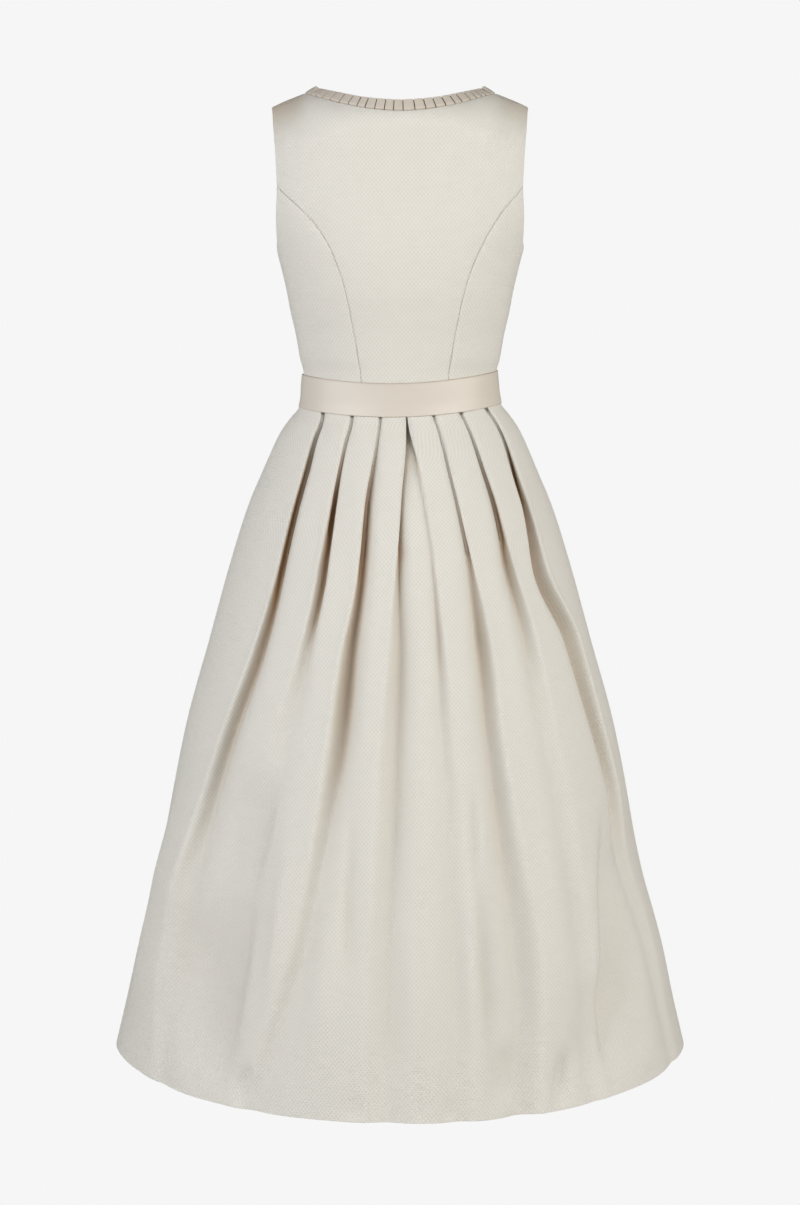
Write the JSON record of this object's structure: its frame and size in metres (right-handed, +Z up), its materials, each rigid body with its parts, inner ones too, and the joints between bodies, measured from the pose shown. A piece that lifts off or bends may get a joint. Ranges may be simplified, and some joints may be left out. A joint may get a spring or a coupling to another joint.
{
  "type": "dirndl dress",
  "caption": "Sleeveless worn dirndl dress with princess seams, pleated satin neck trim, satin waistband and full pleated skirt, hollow and open at neck, armholes and hem.",
  "frame": {"origin": "midway between the shoulder seams, level with their neck ends, where the wearer's shoulders carry the dress", "axes": "+Z up, -Y the front of the dress, +Y its back, +X the wearer's left; millimetres in the source, metres in the row"},
  "size_m": [0.7479, 0.6698, 1.273],
  "materials": {
    "cream_jacquard": "cream small-diamond jacquard with a low satin glint",
    "champagne_satin": "champagne satin, smooth with a soft sheen"
  },
  "bodies": {
    "root": {"bodice_back": "cream_jacquard", "bodice_side_back_left": "cream_jacquard", "bodice_side_back_right": "cream_jacquard", "bodice_side_front_left": "cream_jacquard", "bodice_side_front_right": "cream_jacquard", "bodice_front_left": "cream_jacquard", "bodice_front_right": "cream_jacquard", "neck_trim": "champagne_satin", "waistband": "champagne_satin", "skirt_back": "cream_jacquard", "skirt_front": "cream_jacquard"}
  },
  "joints": []
}
